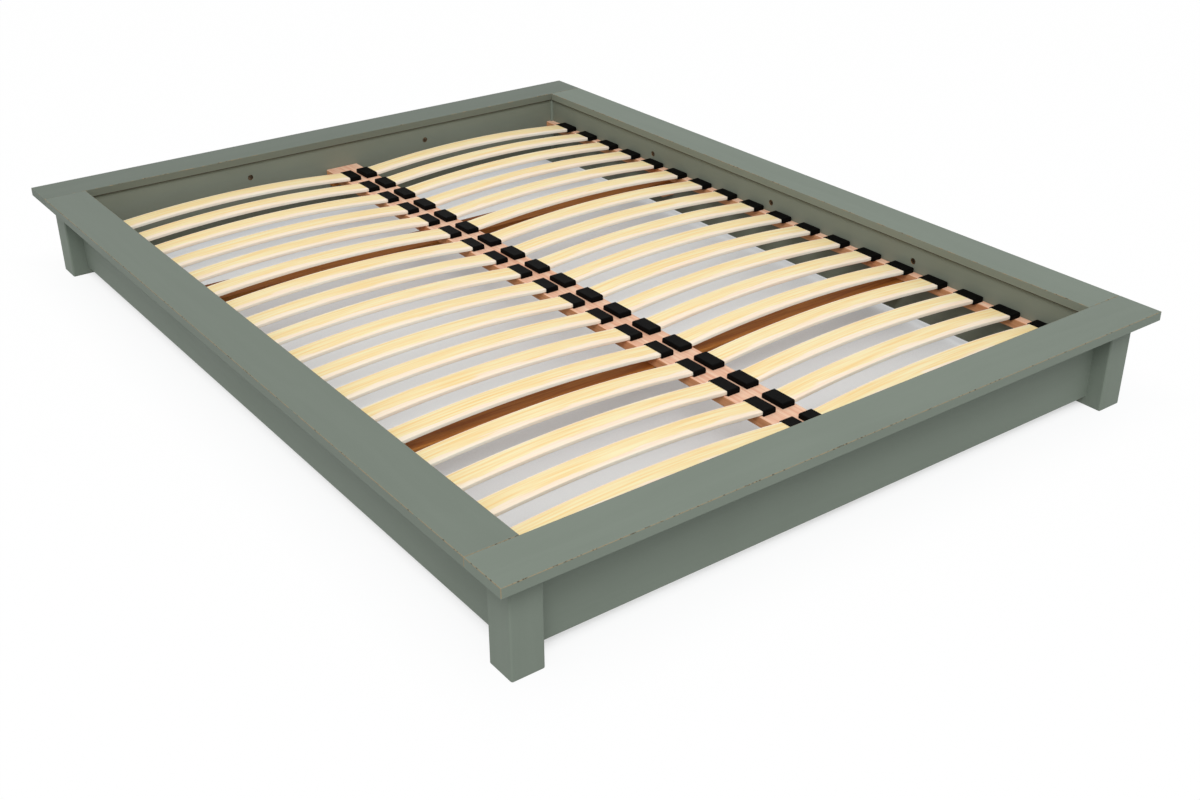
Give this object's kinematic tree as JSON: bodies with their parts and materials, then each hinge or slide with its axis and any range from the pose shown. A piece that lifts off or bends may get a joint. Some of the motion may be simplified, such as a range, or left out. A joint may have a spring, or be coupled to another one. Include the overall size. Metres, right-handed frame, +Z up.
{
  "type": "low slatted futon bed frame",
  "caption": "Low platform bed frame with a flat board rim, recessed aprons and square legs, and two columns of bowed sprung slats in capped ends on rails.",
  "frame": {"origin": "on the floor under the middle of the bed", "axes": "+Y towards the head end, +X to the right as seen from the foot end, +Z up"},
  "size_m": [1.602, 2.112, 0.215],
  "materials": {
    "rim_paint": "grey-green matt lacquer on wood",
    "frame_paint": "grey-green matt lacquer on wood",
    "rail_wood": "planed reddish softwood, bare",
    "slat_birch": "sanded birch plywood, bare",
    "cap_plastic": "matt black moulded plastic",
    "lock_zinc": "dark bronzed zinc",
    "bolt_steel": "zinc-plated steel",
    "dowel_beech": "fluted beech, bare"
  },
  "bodies": {
    "root": {"rim_head": "rim_paint", "rim_foot": "rim_paint", "rim_left": "rim_paint", "rim_right": "rim_paint", "apron_head": "frame_paint", "apron_foot": "frame_paint", "apron_left": "frame_paint", "apron_right": "frame_paint", "leg_head_left": "frame_paint", "leg_head_right": "frame_paint", "leg_foot_left": "frame_paint", "leg_foot_right": "frame_paint", "centre_rail": "rail_wood", "side_rail_left": "rail_wood", "side_rail_right": "rail_wood", "cross_plank_head": "rail_wood", "cross_plank_foot": "rail_wood", "plank_cleat_head_left": "rail_wood", "plank_cleat_head_right": "rail_wood", "plank_cleat_foot_left": "rail_wood", "plank_cleat_foot_right": "rail_wood", "end_cleat_head": "rail_wood", "end_cleat_foot": "rail_wood", "slat_row_01": "slat_birch", "slat_row_02": "slat_birch", "slat_row_03": "slat_birch", "slat_row_04": "slat_birch", "slat_row_05": "slat_birch", "slat_row_06": "slat_birch", "slat_row_07": "slat_birch", "slat_row_08": "slat_birch", "slat_row_09": "slat_birch", "slat_row_10": "slat_birch", "slat_row_11": "slat_birch", "slat_row_12": "slat_birch", "slat_row_13": "slat_birch", "slat_row_14": "slat_birch", "slat_row_15": "slat_birch", "slat_row_16": "slat_birch", "slat_row_17": "slat_birch", "slat_row_18": "slat_birch", "slat_caps_left_outer": "cap_plastic", "slat_caps_left_inner": "cap_plastic", "slat_caps_right_inner": "cap_plastic", "slat_caps_right_outer": "cap_plastic", "rim_cam_locks": "lock_zinc", "corner_cam_locks": "lock_zinc", "rim_cam_bolts": "bolt_steel", "corner_cam_bolts": "bolt_steel", "side_rail_screws": "bolt_steel", "plank_cleat_screws": "bolt_steel", "end_cleat_screws": "bolt_steel", "rising_screws": "bolt_steel", "corner_dowels": "dowel_beech", "rim_seam_dowels": "dowel_beech", "leg_top_dowels": "dowel_beech"}
  },
  "joints": []
}
